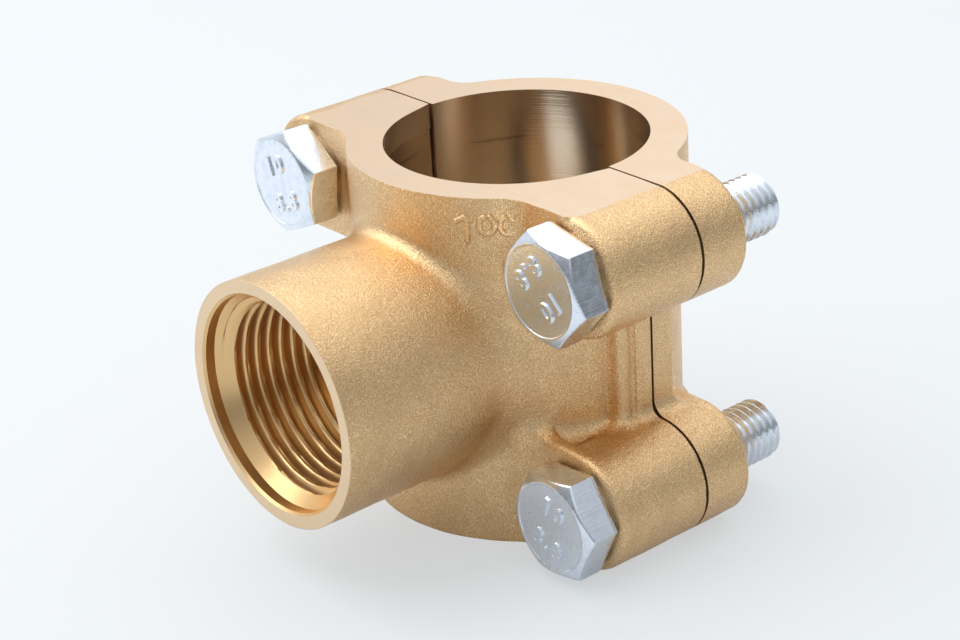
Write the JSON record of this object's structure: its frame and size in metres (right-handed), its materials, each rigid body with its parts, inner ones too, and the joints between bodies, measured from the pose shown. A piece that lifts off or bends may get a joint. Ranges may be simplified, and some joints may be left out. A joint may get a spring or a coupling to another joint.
{
  "type": "tapping saddle",
  "caption": "Two-piece brass pipe saddle with a threaded side outlet, clamped around a pipe by hexagon bolts, with a port seal.",
  "frame": {"origin": "where the pipe axis crosses the outlet axis", "axes": "+Z along the pipe axis, the outlet points along -Y, and +X is to the right seen from the outlet"},
  "size_m": [0.0832, 0.0785, 0.0586],
  "materials": {
    "cast_body": "shot-blasted cast brass with machined ends and bores",
    "bolt_zinc": "bright zinc-plated steel",
    "seal": "black moulded rubber"
  },
  "bodies": {
    "front_half": {"saddle_body": "cast_body", "port_seal": "seal"},
    "rear_half": {"rear_clamp": "cast_body"},
    "bolt_1": {"bolt_upper_right": "bolt_zinc"},
    "bolt_2": {"bolt_lower_right": "bolt_zinc"},
    "bolt_3": {"bolt_upper_left": "bolt_zinc"},
    "bolt_4": {"bolt_lower_left": "bolt_zinc"}
  },
  "joints": [
    {"name": "rear_half_slide", "type": "slide", "parent": "front_half", "child": "rear_half", "axis": [0, 1, 0], "range_m": [0, 0.021]},
    {"name": "bolt_1_turn", "type": "hinge", "parent": "front_half", "child": "bolt_1", "pos_m": [0.0319, 0, 0.01965], "axis": [0, -1, 0], "range_deg": [0, 5060]},
    {"name": "bolt_2_turn", "type": "hinge", "parent": "front_half", "child": "bolt_2", "pos_m": [0.0319, 0, -0.01965], "axis": [0, -1, 0], "range_deg": [0, 5060]},
    {"name": "bolt_3_turn", "type": "hinge", "parent": "front_half", "child": "bolt_3", "pos_m": [-0.0319, 0, 0.01965], "axis": [0, -1, 0], "range_deg": [0, 5060]},
    {"name": "bolt_4_turn", "type": "hinge", "parent": "front_half", "child": "bolt_4", "pos_m": [-0.0319, 0, -0.01965], "axis": [0, -1, 0], "range_deg": [0, 5060]}
  ],
  "couplings": [
    {"joint": "bolt_1_turn", "follows": "rear_half_slide", "rad_per_m": 4188.8},
    {"joint": "bolt_2_turn", "follows": "rear_half_slide", "rad_per_m": 4188.8},
    {"joint": "bolt_3_turn", "follows": "rear_half_slide", "rad_per_m": 4188.8},
    {"joint": "bolt_4_turn", "follows": "rear_half_slide", "rad_per_m": 4188.8}
  ]
}
